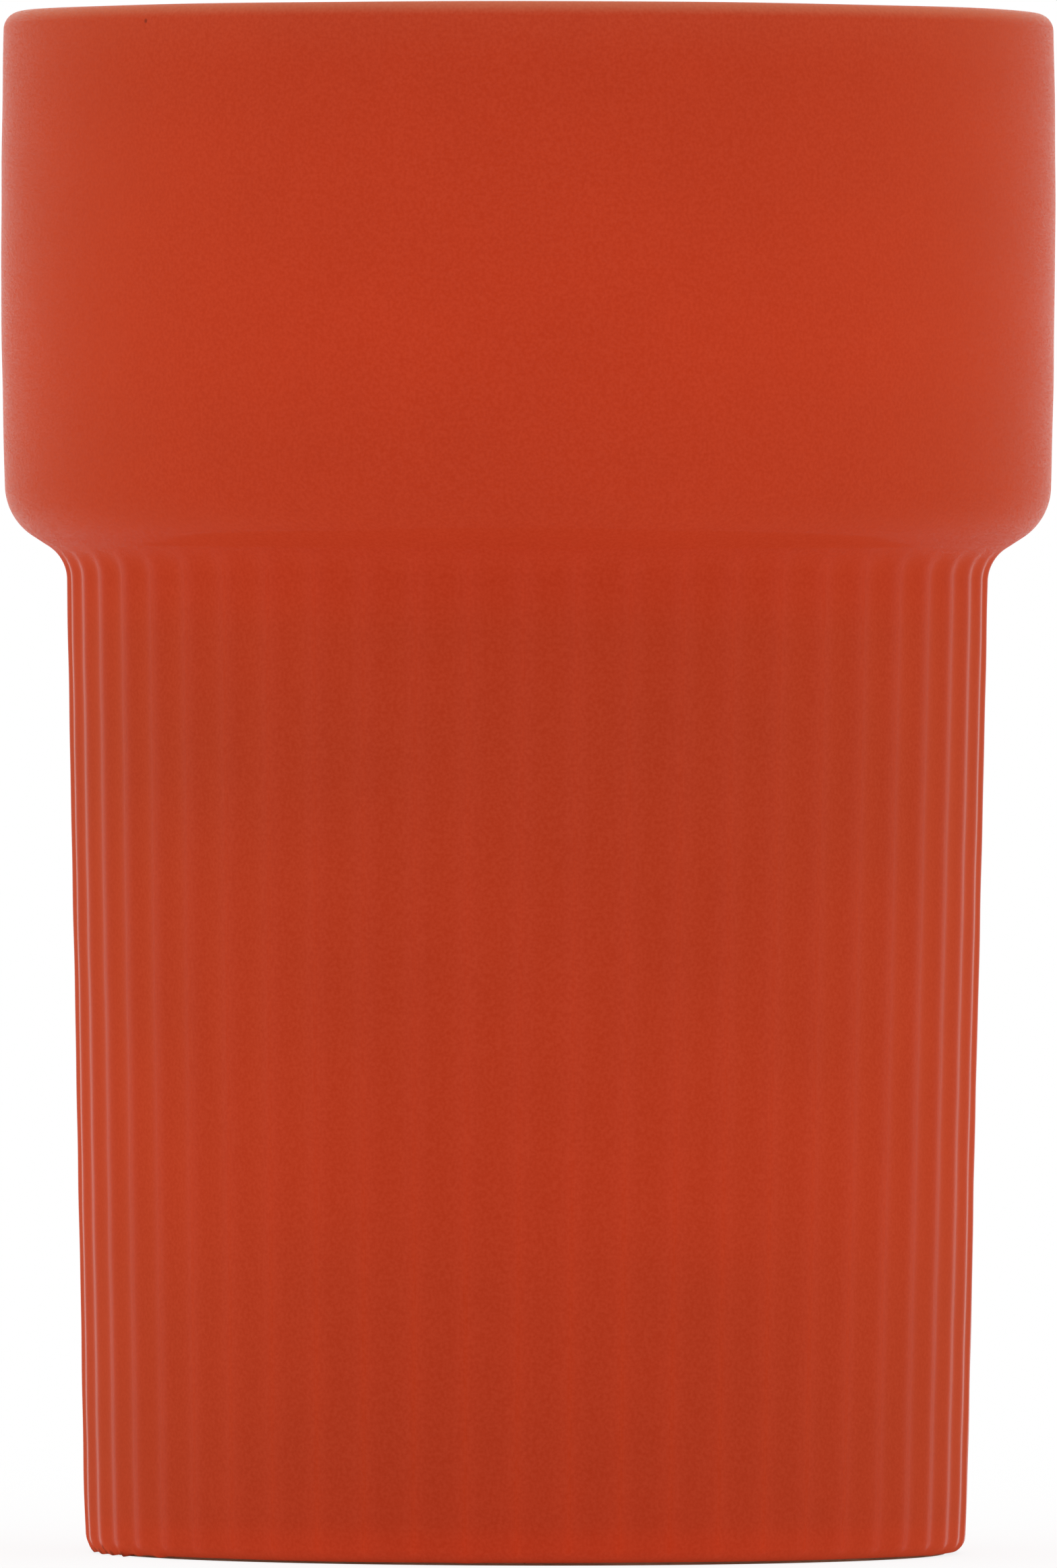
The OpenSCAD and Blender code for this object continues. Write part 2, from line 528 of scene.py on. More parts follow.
    def recess(self, depth: float, lowest: float) -> list[Station]:
        """Makes the face of the recess under the floor, from its axis to its lower edge.

        Args:
            depth: Distance by which the face lies deeper in the clay.
            lowest: Level of the lower edge.

        Returns:
            The stations, from the axis outwards.
        """
        radius = self.foot_radius - self.foot_width - self.recess_round
        centre = np.array((radius, self.recess_depth - self.recess_round))
        shares = np.linspace(*self.disc_span, self.rings.recess_disc)
        ceiling = [Station((share * radius, self.recess_depth + depth), (0.0, -1.0)) for share in shares]
        corner = self.arc(centre, self.recess_round + depth, math.pi / 2.0, 0.0, self.rings.recess_corner)
        side = radius + self.recess_round + depth
        return [*ceiling, *corner, Station((side, lowest), (-1.0, 0.0))]


@dataclass(frozen=True)
class TurnedPiece:
    """Turns outlines into meshes that carry the flutes, the unevenness and the beads.

    edge_softness eases the flutes into the base's rounding. Within calm_radius the unevenness fades out
    towards the axis. foot_tuck draws the wall in at the table, and ends at tuck_height. Edges sharper than
    sharp_angle stay sharp.
    """

    flutes: Flutes
    uneven: Unevenness
    beads: EdgeBeads
    edge_softness: float = 0.03 * MM
    calm_radius: float = 15.0 * MM
    foot_tuck: float = 0.12 * MM
    tuck_height: float = 6.0 * MM
    sharp_angle: float = math.radians(35.0)

    def ring(self, station: Station, angles: np.ndarray) -> np.ndarray:
        """Gives the points of one ring.

        Args:
            station: The ring's place, normal and flutes.
            angles: Angles of the ring's points, before the lean.

        Returns:
            An array of points, in metres.
        """
        radius, level = station.place
        around = angles + self.flutes.turn(level)
        groove = self.flutes.groove(angles) * self.flutes.open_share(level)
        out = np.array(station.normal)
        calm = min(1.0, radius / self.calm_radius)
        tuck = self.foot_tuck * max(0.0, 1.0 - level / self.tuck_height) ** 2
        inward = groove * station.flute - self.uneven.at(around, level) * calm
        radii = radius - inward * out[0] - tuck * calm
        levels = level - inward * out[1]
        if station.edge is not None:
            over = groove - station.edge
            radii = radii - (over + np.sqrt(over**2 + self.edge_softness**2)) / 2.0
            bead = self.beads.at(around, level)
            radii = radii + bead * self.beads.out
            levels = levels - bead * self.beads.down
        return np.column_stack((radii * np.cos(around), radii * np.sin(around), levels))

    def turn(self, name: str, loop: Sequence[Station], angles: np.ndarray,
             capped: bool) -> bpy.types.Object:
        """Makes an object from a loop of stations.

        Args:
            name: Name of the object.
            loop: Stations of the outline in order.
            angles: Angles of the columns.
            capped: True for an outline whose two ends lie at the axis, false for a closed ring.

        Returns:
            The new object, linked to the scene.
        """
        columns = len(angles)
        rings = len(loop)
        points = np.vstack([self.ring(station, angles) for station in loop])
        faces = []
        for row in range(rings - 1 if capped else rings):
            low, high = row * columns, (row + 1) % rings * columns
            for column in range(columns):
                after = (column + 1) % columns
                faces.append((low + column, low + after, high + after, high + column))
        if capped:
            first, last = len(points), len(points) + 1
            caps = [(0.0, 0.0, loop[0].place[1]), (0.0, 0.0, loop[-1].place[1])]
            points = np.vstack((points, caps))
            end = (rings - 1) * columns
            for column in range(columns):
                after = (column + 1) % columns
                faces.append((first, after, column))
                faces.append((last, end + column, end + after))
        mesh = bpy.data.meshes.new(name)
        mesh.from_pydata(points.tolist(), [], faces)
        mesh.validate()
        mesh.shade_smooth()
        mesh.set_sharp_from_angle(angle=self.sharp_angle)
        piece = bpy.data.objects.new(name, mesh)
        bpy.context.scene.collection.objects.link(piece)
        return piece


class Shader:
    """Adds nodes to one material and links them."""

    cloud_roughness: float = 0.55

    def __init__(self, name: str) -> None:
        """Makes an empty material.

        Args:
            name: Name of the material.
        """
        self.material = bpy.data.materials.new(name)
        self.material.use_nodes = True
        self.tree = self.material.node_tree
        self.tree.nodes.clear()

    def add(self, kind: str, values: dict[Any, Any] | None = None, **settings: Any) -> bpy.types.Node:
        """Adds a node.

        Args:
            kind: Type of the node without its prefix.
            values: Socket to value, where a socket as value is linked.
            settings: Properties of the node.

        Returns:
            The new node.
        """
        node = self.tree.nodes.new("ShaderNode" + kind)
        for key, value in settings.items():
            setattr(node, key, value)
        for key, value in (values or {}).items():
            if isinstance(value, Socket):
                self.tree.links.new(value, node.inputs[key])
            else:
                node.inputs[key].default_value = value
        return node

    def place(self) -> Socket:
        """Gives the object's own coordinates, in metres."""
        return self.add("TexCoord").outputs["Object"]

    def cloud(self, place: Socket, grain: float, detail: float = 2.0) -> Socket:
        """Gives a noise whose lumps are about one grain across."""
        values = {"Vector": place, "Scale": 1.0 / grain, "Detail": detail, "Roughness": self.cloud_roughness}
        return self.add("TexNoise", values).outputs["Fac"]

    def span(self, value: Socket, low: float, high: float, to_low: float, to_high: float) -> Socket:
        """Maps a stretch of values smoothly onto another."""
        values = {"Value": value, "From Min": low, "From Max": high, "To Min": to_low, "To Max": to_high}
        return self.add("MapRange", values, interpolation_type="SMOOTHSTEP").outputs["Result"]

    def sums(self, operation: str, first: Any, second: Any) -> Socket:
        """Joins two numbers by an operation."""
        return self.add("Math", {0: first, 1: second}, operation=operation).outputs[0]

    def between(self, share: Any, first: Any, second: Any) -> Socket:
        """Mixes two numbers."""
        step = self.sums("SUBTRACT", second, first)
        return self.sums("ADD", first, self.sums("MULTIPLY", step, share))

    def blend(self, share: Any, first: Any, second: Any) -> Socket:
        """Mixes two colours."""
        return self.add("Mix", {0: share, 6: first, 7: second}, data_type="RGBA").outputs[2]

    def tinted(self, tone: Socket, share: Socket, gain: Colour) -> Socket:
        """Multiplies a colour by a share of a gain."""
        part = self.blend(share, opaque(PLAIN), opaque(gain))
        return self.add("VectorMath", {0: tone, 1: part}, operation="MULTIPLY").outputs[0]

    def relief(self, height: Socket, strength: float, distance: float) -> Socket:
        """Gives a normal that a fine relief tilts."""
        return self.add("Bump", {"Strength": strength, "Distance": distance, "Height": height}).outputs[0]

    def ramp(self, share: Socket, stops: Sequence[Point]) -> Socket:
        """Gives a smooth grey that follows a share.

        Args:
            share: The share to follow, from zero to one.
            stops: Pairs of place and value that the grey runs through.

        Returns:
            The grey.
        """
        node = self.add("ValToRGB", {0: share})
        node.color_ramp.interpolation = "EASE"
        elements = node.color_ramp.elements
        for place, _ in stops[1:-1]:
            elements.new(place)
        for element, (place, value) in zip(elements, stops):
            element.position = place
            element.color = (value, value, value, 1.0)
        return node.outputs[0]

    def finish(self, surface: bpy.types.Node) -> bpy.types.Material:
        """Links a surface to the material's output."""
        self.add("OutputMaterial", {"Surface": surface.outputs[0]})
        return self.material


@dataclass(frozen=True)
class MatteCoat:
    """Matte orange-red coat, with painted light and shade by height, a soft mottle, a fine grain and a pale
    lip.

    The painted light and shade is given as pairs of height share and share of the darker painted shade tone,
    from the table up. The ridges multiply the tone by a gain that is partly glaze breaking on them and
    partly a painted highlight, and the cove by a gain that is painted shade. The pale lip is partly a
    thinner skin and partly a painted highlight, and the paler lower edge is painted light against the shade
    at the table. marks holds the angle round the axis in degrees, the radius, the height and the size of
    each pinhole or dark bead, whose shade is full within mark_core times its size and ends at mark_rim times
    it.

    The collar has fine smooth flecks in a matte ground. fleck_range is the stretch of their noise in which
    the one turns into the other, and cove_dulling shifts it in the cove. bloom is a faint warm sheen.
    """

    height: float
    flutes: Flutes
    flute_top: float
    tone: Colour = (0.541, 0.0338, 0.0079)
    # The darker tone is painted shade, mixed in by height.
    painted_shade_tone: Colour = (0.382, 0.0286, 0.0079)
    # The paler tone serves a thinner skin, a painted highlight on the lip and painted light at the lower
    # edge.
    thin_and_painted_light_tone: Colour = (0.480, 0.1200, 0.0620)
    # The ridges' gain is partly glaze breaking on them and partly a painted highlight, stronger near the
    # table.
    ridge_break_and_highlight_gain: Colour = (1.13, 0.91, 0.20)
    ridge_break_and_highlight_share: float = 0.30
    low_ridge_break_and_highlight_share: float = 0.65
    low_ridge_level: float = 12.0 * MM
    high_ridge_level: float = 40.0 * MM
    crest_power: float = 2.4
    mark_tone: Colour = (0.21, 0.018, 0.009)
    mark_core: float = 0.5
    mark_rim: float = 1.5
    marks: tuple[tuple[float, float, float, float], ...] = (
        (-135.3, 39.86 * MM, 115.62 * MM, 0.16 * MM), (41.0, 39.95 * MM, 92.4 * MM, 0.13 * MM),
        (-163.4, 33.15 * MM, 0.62 * MM, 0.20 * MM), (-173.0, 33.0 * MM, 0.08 * MM, 0.36 * MM),
        (-169.8, 33.0 * MM, 0.08 * MM, 0.40 * MM), (-166.0, 33.0 * MM, 0.08 * MM, 0.40 * MM),
        (-163.0, 33.0 * MM, 0.08 * MM, 0.36 * MM), (-160.4, 33.0 * MM, 0.08 * MM, 0.34 * MM),
        (-156.4, 33.0 * MM, 0.05 * MM, 0.38 * MM), (112.0, 32.90 * MM, 0.10 * MM, 0.30 * MM),
    )
    # Painted light and shade by height: pairs of height share and share of the darker painted shade tone.
    painted_shade_bands: tuple[Point, ...] = (
        (0.005, 0.15), (0.011, 0.44), (0.03, 0.81), (0.07, 0.88), (0.15, 0.82), (0.26, 0.62), (0.40, 0.75),
        (0.52, 0.89), (0.59, 0.78), (0.63, 0.52), (0.657, 0.40), (0.68, 0.52), (0.70, 0.52), (0.79, 0.38),
        (0.90, 0.47), (0.958, 0.56), (1.0, 0.56),
    )
    mottle: float = 14.0 * MM
    mottle_detail: float = 3.0
    mottle_share: float = 0.05
    speckle: float = 0.25 * MM
    speckle_share: float = 0.08
    grain_share: float = 0.09
    grain_height: float = 0.012 * MM
    grain_strength: float = 0.25
    fleck: float = 0.06 * MM
    fleck_detail: float = 0.0
    fleck_range: Range = (0.44, 0.52)
    fleck_roughness: float = 0.10
    ground_roughness: float = 1.0
    ridge_roughness: float = 0.10
    hollow_roughness: float = 0.96
    cove_level: float = 76.6 * MM
    cove_reach: float = 1.8 * MM
    # Painted shade in the cove: it darkens the tone there.
    cove_shade_gain: Colour = (0.99, 0.86, 0.90)
    cove_dulling: float = 0.085
    cove_fade: float = 2.4 * MM
    foot_start: float = 0.275 * MM
    foot_fade: float = 1.1 * MM
    index: float = 1.16
    bloom: float = 0.32
    bloom_tone: Colour = (1.0, 0.205, 0.06)
    bloom_roughness: float = 0.70
    # Pale lip: partly a thinner skin and partly a painted highlight.
    lip_fade: float = 1.0 * MM
    lip_thin_and_highlight_share: float = 0.78
    veil_fade: float = 5.0 * MM
    veil_thin_and_highlight_share: float = 0.065
    # Painted light at the lower edge, against the shade at the table.
    painted_foot_light_fade: float = 1.6 * MM
    painted_foot_light_share: float = 0.10
    wear: float = 1.8 * MM
    wear_height: float = 0.12 * MM

    def shade(self, shader: Shader, cloud: Socket, share: float) -> Socket:
        """Gives a brightness about one that follows a noise."""
        return shader.span(cloud, *CLOUD_RANGE, 1.0 - share / 2.0, 1.0 + share / 2.0)

    def crest(self, shader: Shader, place: Socket) -> Socket:
        """Gives the share of a ridge: one on the ridges, zero in the hollows and at the foot.

        Args:
            shader: The coat's shader.
            place: Coordinates on the cup.

        Returns:
            The share.
        """
        split = shader.add("SeparateXYZ", {0: place}).outputs
        rise = shader.sums("SUBTRACT", split[2], self.flutes.plumb_level)
        angle = shader.sums("ARCTAN2", split[1], split[0])
        angle = shader.sums("SUBTRACT", angle, shader.sums("MULTIPLY", rise, self.flutes.lean))
        turns = shader.sums("DIVIDE", angle, self.flutes.pitch)
        phase = shader.sums("PINGPONG", shader.sums("ADD", turns, float(self.flutes.count)), 0.5)
        foot = shader.span(split[2], self.foot_start, self.foot_fade, 0.0, 1.0)
        peak = shader.sums("POWER", shader.sums("MULTIPLY", phase, 2.0), self.crest_power)
        return shader.sums("MULTIPLY", peak, foot)

    def wall(self, shader: Shader, level: Socket) -> Socket:
        """Gives the share of the fluted wall, which fades out in the cove."""
        return shader.span(level, self.flute_top - self.cove_fade, self.flute_top, 1.0, 0.0)

    def cove(self, shader: Shader, level: Socket) -> Socket:
        """Gives the share of the cove, where the tone carries painted shade and the coat has fewer smooth
        flecks.
        """
        away = shader.sums("ABSOLUTE", shader.sums("SUBTRACT", level, self.cove_level), 0.0)
        return shader.span(away, 0.0, self.cove_reach, 1.0, 0.0)

    def body_tone(self, shader: Shader, level: Socket, crest: Socket, wall: Socket, cove: Socket) -> Socket:
        """Gives the coat's tone with painted light and shade by height, its ridges and its cove.

        Args:
            shader: The coat's shader.
            level: Height above the table.
            crest: Share of a ridge.
            wall: Share of the fluted wall, zero on the collar.
            cove: Share of the cove above the wall.

        Returns:
            The tone of a full coat.
        """
        # Painted light and shade that change with height.
        painted_shade_share = shader.ramp(shader.sums("DIVIDE", level, self.height), self.painted_shade_bands)
        tone = shader.blend(painted_shade_share, opaque(self.tone), opaque(self.painted_shade_tone))
        share = shader.span(level, self.low_ridge_level, self.high_ridge_level,
                            self.low_ridge_break_and_highlight_share, self.ridge_break_and_highlight_share)
        # Painted highlight on the ridges, partly glaze breaking on them.
        ridge = shader.sums("MULTIPLY", shader.sums("MULTIPLY", crest, wall), share)
        # The cove's gain is painted shade.
        return shader.tinted(shader.tinted(tone, ridge, self.ridge_break_and_highlight_gain), cove, self.cove_shade_gain)

    def thinning_and_painted_light(self, shader: Shader, place: Socket, level: Socket, speckle: Socket) -> Socket:
        """Gives the share of the paler tone: on the lip and below it, at the lower edge and in the grain.

        On the lip and below it the paler tone is partly a thinner skin and partly a painted highlight, at
        the lower edge it is painted light against the shade at the table, and in the grain it is a thinner
        skin.

        Args:
            shader: The coat's shader.
            place: Coordinates on the cup.
            level: Height above the table.
            speckle: Noise of the fine grain.

        Returns:
            The share of the paler tone.
        """
        wear = shader.sums("ADD", speckle, shader.cloud(place, self.wear))
        high = shader.sums("ADD", level, shader.sums("MULTIPLY", wear, self.wear_height))
        # Pale lip: partly a thinner skin and partly a painted highlight.
        lip = shader.span(high, self.height - self.lip_fade, self.height, 0.0, self.lip_thin_and_highlight_share)
        veil = shader.span(high, self.height - self.veil_fade, self.height - self.lip_fade / 2.0,
                           0.0, self.veil_thin_and_highlight_share)
        # Painted light at the lower edge, against the shade at the table.
        edge = shader.span(level, 0.0, self.painted_foot_light_fade, self.painted_foot_light_share, 0.0)
        grain = shader.span(speckle, *CLOUD_RANGE, 0.0, self.grain_share)
        upper = shader.sums("ADD", lip, veil)
        return shader.sums("ADD", shader.sums("ADD", upper, edge), grain)

    def marked(self, shader: Shader, place: Socket, tone: Socket) -> Socket:
        """Adds the pinholes and the dark beads to a tone.

        Args:
            shader: The coat's shader.
            place: Coordinates on the cup.
            tone: The tone without them.

        Returns:
            The tone with them.
        """
        for turn, radius, height, size in self.marks:
            spot = (*(radius * direction(math.radians(turn))), height)
            gap = shader.add("VectorMath", {0: place, 1: spot}, operation="DISTANCE").outputs["Value"]
            mark = shader.span(gap, size * self.mark_core, size * self.mark_rim, 1.0, 0.0)
            tone = shader.blend(mark, tone, opaque(self.mark_tone))
        return tone

    def gloss(self, shader: Shader, crest: Socket, wall: Socket, cove: Socket, flecks: Socket) -> Socket:
        """Gives the roughness: smooth on the ridges, matte in the hollows and both in flecks on the collar.

        Args:
            shader: The coat's shader.
            crest: Share of a ridge.
            wall: Share of the fluted wall, zero on the collar.
            cove: Share of the cove above the wall.
            flecks: Noise of the fine smooth flecks.

        Returns:
            The roughness.
        """
        flecks = shader.sums("ADD", flecks, shader.sums("MULTIPLY", cove, self.cove_dulling))
        plain = shader.span(flecks, *self.fleck_range, self.fleck_roughness, self.ground_roughness)
        fluted = shader.between(crest, self.hollow_roughness, self.ridge_roughness)
        return shader.between(wall, plain, fluted)

    def material(self) -> bpy.types.Material:
        """Makes the coat's material.

        Returns:
            The material.
        """
        shader = Shader("matte_coat")
        place = shader.place()
        level = shader.add("SeparateXYZ", {0: place}).outputs[2]
        mottle = shader.cloud(place, self.mottle, self.mottle_detail)
        speckle = shader.cloud(place, self.speckle)
        flecks = shader.cloud(place, self.fleck, self.fleck_detail)
        crest = self.crest(shader, place)
        wall = self.wall(shader, level)
        cove = self.cove(shader, level)
        tone = self.body_tone(shader, level, crest, wall, cove)
        # The paler tone: thinner skin, with a painted highlight on the lip and painted light at the lower
        # edge.
        tone = shader.blend(self.thinning_and_painted_light(shader, place, level, speckle), tone, opaque(self.thin_and_painted_light_tone))
        tone = self.marked(shader, place, tone)
        light = shader.sums("MULTIPLY", self.shade(shader, mottle, self.mottle_share),
                            self.shade(shader, speckle, self.speckle_share))
        surface = shader.add("BsdfPrincipled", {
            "Base Color": shader.add("VectorMath", {0: tone, "Scale": light}, operation="SCALE").outputs[0],
            "Roughness": self.gloss(shader, crest, wall, cove, flecks),
            "IOR": self.index,
            "Normal": shader.relief(speckle, self.grain_strength, self.grain_height),
            "Sheen Weight": self.bloom,
            "Sheen Roughness": self.bloom_roughness,
            "Sheen Tint": opaque(self.bloom_tone),
        })
        return shader.finish(surface)


@dataclass(frozen=True)
class SatinGlaze:
    """Satin glaze with slow clouds where it lies thicker.

    smoother and rougher are the steps from the roughness down and up that the clouds make. The ranges are
    the stretches of the clouds' noise in which the tone and the roughness change.
    """

    name: str
    tone: Colour
    thick_tone: Colour
    roughness: float = 0.28
    smoother: float = 0.05
    rougher: float = 0.08
    cloud: float = 9.0 * MM
    cloud_detail: float = 4.0
    thick_range: Range = (0.35, 0.65)
    rough_range: Range = (0.2, 0.8)
    ripple: float = 3.0 * MM
    ripple_detail: float = 1.0
    ripple_height: float = 0.05 * MM
    ripple_strength: float = 0.25
    index: float = 1.45

    def material(self) -> bpy.types.Material:
        """Makes the glaze's material.

        Returns:
            The material.
        """
        shader = Shader(self.name)
        place = shader.place()
        cloud = shader.cloud(place, self.cloud, self.cloud_detail)
        ripple = shader.cloud(place, self.ripple, self.ripple_detail)
        thick = shader.span(cloud, *self.thick_range, 0.0, 1.0)
        low, high = self.roughness - self.smoother, self.roughness + self.rougher
        surface = shader.add("BsdfPrincipled", {
            "Base Color": shader.blend(thick, opaque(self.tone), opaque(self.thick_tone)),
            "Roughness": shader.span(cloud, *self.rough_range, low, high),
            "IOR": self.index,
            "Normal": shader.relief(ripple, self.ripple_strength, self.ripple_height),
        })
        return shader.finish(surface)


@dataclass(frozen=True)
class BareClay:
    """Bare fired clay with sand grains and darker iron specks.

    patch_range and sand_range are the stretches of the noises in which the tone and the roughness change.
    speck_range holds the shares of a speck's distance at which it begins to fade and ends.
    """

    tone: Colour = (0.46, 0.20, 0.11)
    sand_tone: Colour = (0.56, 0.29, 0.17)
    iron_tone: Colour = (0.16, 0.06, 0.04)
    detail: float = 3.0
    patches: float = 6.0 * MM
    patch_range: Range = (0.3, 0.7)
    speck: float = 0.9 * MM
    speck_range: Range = (0.06, 0.16)
    speck_share: float = 0.7
    sand: float = 0.35 * MM
    sand_range: Range = (0.2, 0.8)
    sand_roughness: Range = (0.78, 0.95)
    sand_height: float = 0.06 * MM
    sand_strength: float = 0.6
    index: float = 1.4

    def material(self) -> bpy.types.Material:
        """Makes the clay's material.

        Returns:
            The material.
        """
        shader = Shader("fired_clay")
        place = shader.place()
        sand = shader.cloud(place, self.sand, self.detail)
        patches = shader.cloud(place, self.patches, self.detail)
        sandy = shader.span(patches, *self.patch_range, 0.0, 1.0)
        tone = shader.blend(sandy, opaque(self.tone), opaque(self.sand_tone))
        specks = shader.add("TexVoronoi", {"Vector": place, "Scale": 1.0 / self.speck}).outputs["Distance"]
        iron = shader.span(specks, *self.speck_range, self.speck_share, 0.0)
        surface = shader.add("BsdfPrincipled", {
            "Base Color": shader.blend(iron, tone, opaque(self.iron_tone)),
            "Roughness": shader.span(sand, *self.sand_range, *self.sand_roughness),
            "IOR": self.index,
            "Normal": shader.relief(sand, self.sand_strength, self.sand_height),
        })
        return shader.finish(surface)


@dataclass(frozen=True)
class TableTop:
    """White matte table with a faint shadow, clear from below so that the cup's foot can be seen.

    glow is the share of plain white that the camera and reflections see instead of the lit cloth.
    """

    tone: Colour = PLAIN
    glow: float = 0.85

    def material(self) -> bpy.types.Material:
        """Makes the table's material.

        Returns:
            The material.
        """
        shader = Shader("white_table")
        cloth = shader.add("BsdfDiffuse", {"Color": opaque(self.tone)})
        white = shader.add("Emission", {"Color": opaque(self.tone), "Strength": 1.0})
        path = shader.add("LightPath").outputs
        seen = shader.sums("MAXIMUM", path["Is Camera Ray"], path["Is Glossy Ray"])
        lit = shader.add("MixShader", {
            0: shader.sums("MULTIPLY", seen, self.glow), 1: cloth.outputs[0], 2: white.outputs[0],
        })
        back = shader.add("NewGeometry").outputs["Backfacing"]
        clear = shader.add("BsdfTransparent")
        return shader.finish(shader.add("MixShader", {0: back, 1: lit.outputs[0], 2: clear.outputs[0]}))


def dress(piece: bpy.types.Object, node: Node, material: bpy.types.Material) -> None:
    """Gives a piece its material, hangs it under the body and hides the solid that it stands for.

    Args:
        piece: The dressed piece.
        node: The solid that it replaces.
        material: The piece's finish.
    """
    piece.data.materials.append(material)
    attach(piece, BODY)
    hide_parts(node.value)


@dataclass
class FiredClay:
    """The clay under the coats, with the bare ring that the cup stands on."""

    outline: CupOutline
    turner: TurnedPiece
    foot_bevel: float = 0.12 * MM
    hidden_detail: float = 0.4

    def build(self) -> bpy.types.Object:
        """Makes the clay as a closed solid.

        Returns:
            The new piece.
        """
        outline = self.outline
        coat = outline.coat
        inner = outline.inside(outline.wall - coat, outline.floor_level - coat, outline.floor_round + coat)
        lip = outline.lip(coat, 0.0, math.pi, outline.rings.clay_lip)
        foot_in = outline.foot_radius - outline.foot_width + coat
        foot_out = outline.foot_radius
        bevel = self.foot_bevel
        foot = [
            Station((foot_in, bevel), (-1.0, 0.0)),
            Station((foot_in + bevel, 0.0), (0.0, 0.0)),
            Station(((foot_in + foot_out) / 2.0, 0.0), (0.0, 0.0)),
            Station((foot_out - bevel, 0.0), (0.0, 0.0)),
            Station((foot_out, bevel), (1.0, 0.0)),
        ]
        outer = outline.outside(coat, coat, self.hidden_detail)
        loop = [*outline.recess(coat, outline.coat_edge), *foot, *outer, *lip, *reversed(inner)]
        angles = outline.flutes.angles(outline.flutes.hidden_samples)
        return self.turner.turn("fired_clay_body", loop, angles, capped=True)

    def dress(self, piece: bpy.types.Object) -> None:
        """Gives the clay its finish."""
        dress(piece, Node.CLAY, BareClay().material())


@dataclass
class OuterCoat:
    """The coloured coat, from its lower edge over the lip to just inside the mouth."""

    outline: CupOutline
    turner: TurnedPiece
    hidden_detail: float = 0.34

    def build(self) -> bpy.types.Object:
        """Makes the coat as a closed film.

        Returns:
            The new piece.
        """
        outline = self.outline
        coat, edge, turn = outline.coat, outline.coat_edge, outline.coat_turn
        lip = outline.lip(0.0, 0.0, turn, outline.rings.coat_lip)
        lip_back = outline.lip(coat, 0.0, turn, outline.rings.coat_lip_back)
        outer = [*outline.outside(0.0, edge, 1.0), *lip]
        inner = [*outline.outside(coat, edge, self.hidden_detail), *lip_back]
        angles = outline.flutes.angles(outline.flutes.samples)
        return self.turner.turn("outer_coat_skin", [*outer, *reversed(inner)], angles, capped=False)

    def dress(self, piece: bpy.types.Object) -> None:
        """Gives the coat its finish."""
        finish = MatteCoat(self.outline.height, self.outline.flutes, self.outline.flute_top)
        dress(piece, Node.COAT, finish.material())


@dataclass
class LinerGlaze:
    """The glaze inside the cup, from the coat's end at the lip down to the floor."""

    outline: CupOutline
    turner: TurnedPiece
    columns: int = 288
    tone: Colour = (0.470, 0.042, 0.0130)
    thick_tone: Colour = (0.430, 0.035, 0.0105)

    def build(self) -> bpy.types.Object:
        """Makes the glaze as a closed film.

        Returns:
            The new piece.
        """
        outline = self.outline
        coat = outline.coat
        face = outline.inside(outline.wall, outline.floor_level, outline.floor_round)
        back = outline.inside(outline.wall - coat, outline.floor_level - coat, outline.floor_round + coat)
        lip_face = outline.lip(0.0, math.pi, outline.coat_turn, outline.rings.glaze_lip)
        lip_back = outline.lip(coat, math.pi, outline.coat_turn, outline.rings.glaze_lip_back)
        loop = [*back, *lip_back, *reversed(lip_face), *reversed(face)]
        return self.turner.turn("liner_glaze_skin", loop, even_angles(self.columns), capped=True)

    def dress(self, piece: bpy.types.Object) -> None:
        """Gives the glaze its finish."""
        finish = SatinGlaze("liner_glaze", self.tone, self.thick_tone)
        dress(piece, Node.LINER, finish.material())


@dataclass
class RecessGlaze:
    """The glaze in the recess under the floor."""

    outline: CupOutline
    turner: TurnedPiece
    columns: int = 288
    tone: Colour = (0.430, 0.040, 0.0130)
    thick_tone: Colour = (0.380, 0.033, 0.0105)
    roughness: float = 0.35

    def build(self) -> bpy.types.Object:
        """Makes the glaze as a closed film.

        Returns:
            The new piece.
        """
        face = self.outline.recess(0.0, self.outline.coat_edge)
        back = self.outline.recess(self.outline.coat, self.outline.coat_edge)
        loop = [*face, *reversed(back)]
        return self.turner.turn("recess_glaze_skin", loop, even_angles(self.columns), capped=True)

    def dress(self, piece: bpy.types.Object) -> None:
        """Gives the glaze its finish."""
        finish = SatinGlaze("recess_glaze", self.tone, self.thick_tone, self.roughness)
        dress(piece, Node.RECESS, finish.material())


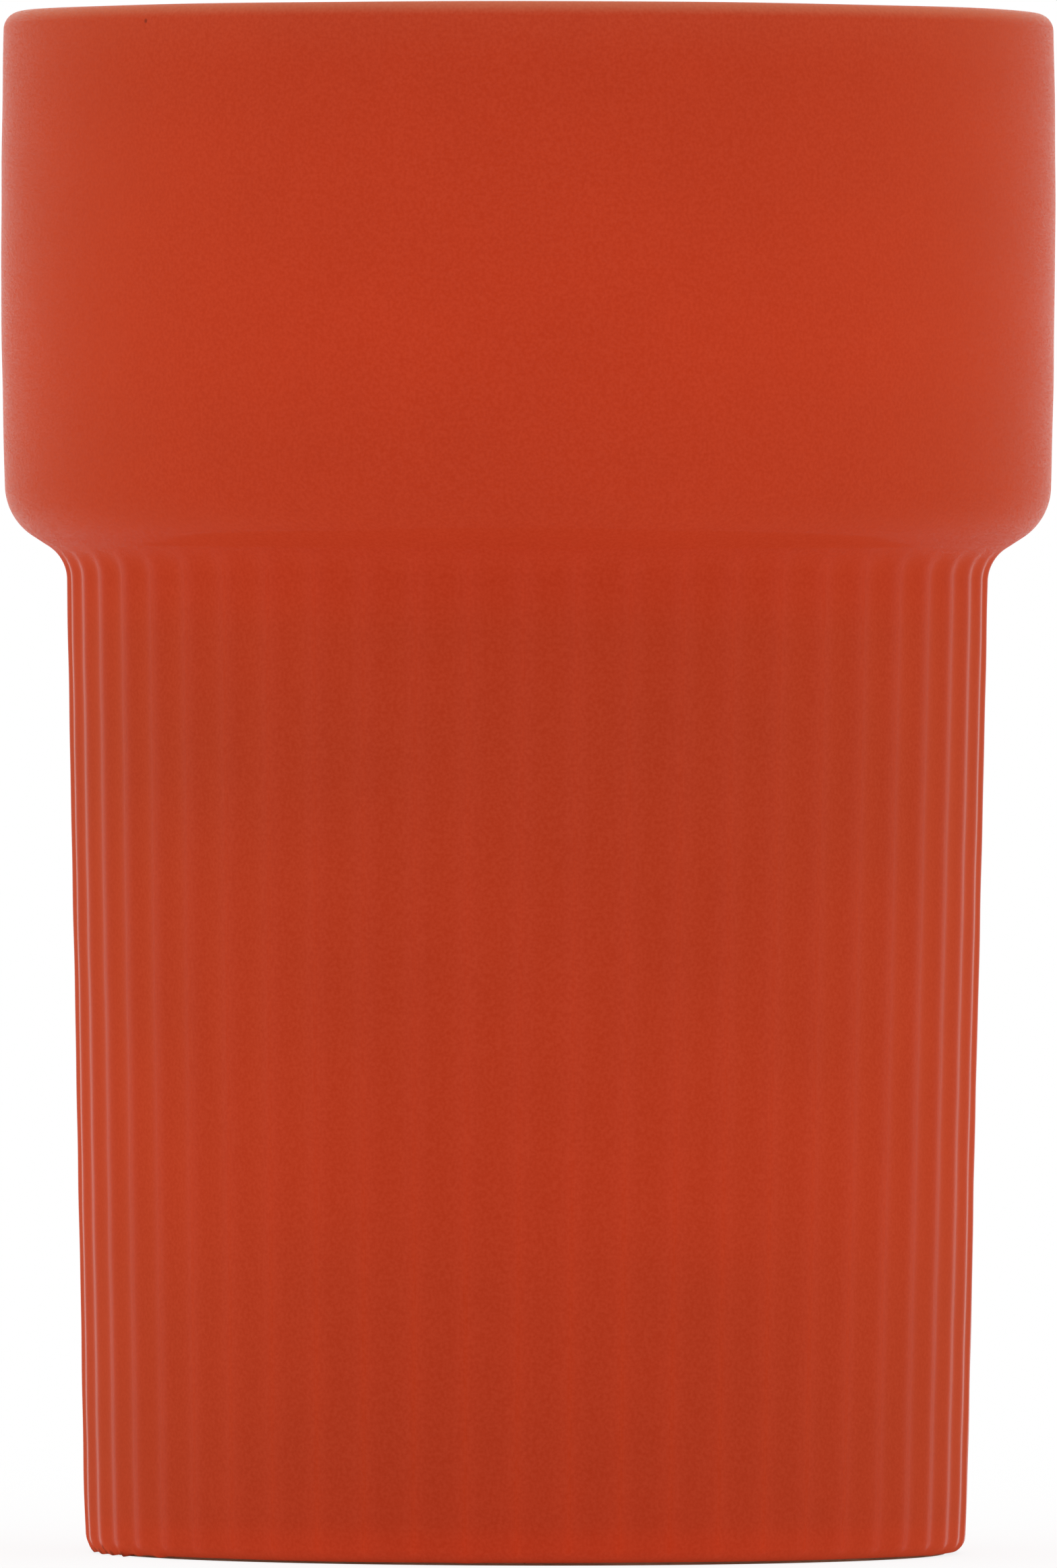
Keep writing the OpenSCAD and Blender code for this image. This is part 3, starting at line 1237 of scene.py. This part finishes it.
@dataclass
class Studio:
    """White table, even white light and the camera at the photograph's angle.

    The camera stands at a distance from the cup's axis, and frame_height is the height of the picture at
    that distance.
    """

    table_radius: float = 6.0
    table_sides: int = 128
    distance: float = 2.13
    eye_level: float = 67.5 * MM
    aim_level: float = 58.35 * MM
    aim_side: float = 0.10 * MM
    azimuth: float = math.radians(0.8)
    roll: float = math.radians(0.11)
    sensor: float = 36.0
    frame_height: float = 119.09 * MM
    seen_range: Range = (0.05, 20.0)

    def table(self) -> None:
        """Makes the table as a disc."""
        bpy.ops.mesh.primitive_circle_add(vertices=self.table_sides, radius=self.table_radius,
                                          fill_type="NGON")
        table = bpy.context.object
        table.name = "white_table"
        table.data.materials.append(TableTop().material())
        table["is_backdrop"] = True

    def light(self) -> None:
        """Makes the even white surroundings."""
        world = bpy.data.worlds.new("white_surroundings")
        world.use_nodes = True
        background = world.node_tree.nodes["Background"]
        background.inputs["Color"].default_value = opaque(PLAIN)
        background.inputs["Strength"].default_value = 1.0
        bpy.context.scene.world = world

    def camera(self) -> None:
        """Makes the camera and aims it."""
        data = bpy.data.cameras.new("front_camera")
        data.sensor_width = self.sensor
        data.lens = self.sensor * self.distance / self.frame_height
        data.clip_start, data.clip_end = self.seen_range
        camera = bpy.data.objects.new("front_camera", data)
        bpy.context.scene.collection.objects.link(camera)
        back = Vector((math.sin(self.azimuth), -math.cos(self.azimuth), 0.0))
        side = Vector((math.cos(self.azimuth), math.sin(self.azimuth), 0.0))
        camera.location = back * self.distance + Vector((0.0, 0.0, self.eye_level)) + side * self.aim_side
        target = Vector((0.0, 0.0, self.aim_level)) + side * self.aim_side
        look = (target - camera.location).to_track_quat("-Z", "Y").to_matrix().to_4x4()
        turn = Matrix.Rotation(self.roll, 4, "Z")
        camera.matrix_world = Matrix.Translation(camera.location) @ look @ turn
        bpy.context.scene.camera = camera

    def build(self) -> None:
        """Makes the table, the light and the camera."""
        self.table()
        self.light()
        self.camera()
        bpy.context.scene.view_settings.view_transform = "Standard"


def main() -> None:
    """Builds and dresses the cup piece by piece, then the studio."""
    logging.basicConfig(level=logging.INFO)
    low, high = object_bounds()
    outline = CupOutline(height=high.z, collar_radius=(high.x - low.x) / 2.0)
    turner = TurnedPiece(outline.flutes, Unevenness(), EdgeBeads())
    for part in (FiredClay, OuterCoat, LinerGlaze, RecessGlaze):
        maker = part(outline, turner)
        piece = maker.build()
        maker.dress(piece)
        LOG.info("%s: %d faces", piece.name, len(piece.data.polygons))
    Studio().build()


if __name__ == "__main__":
    main()
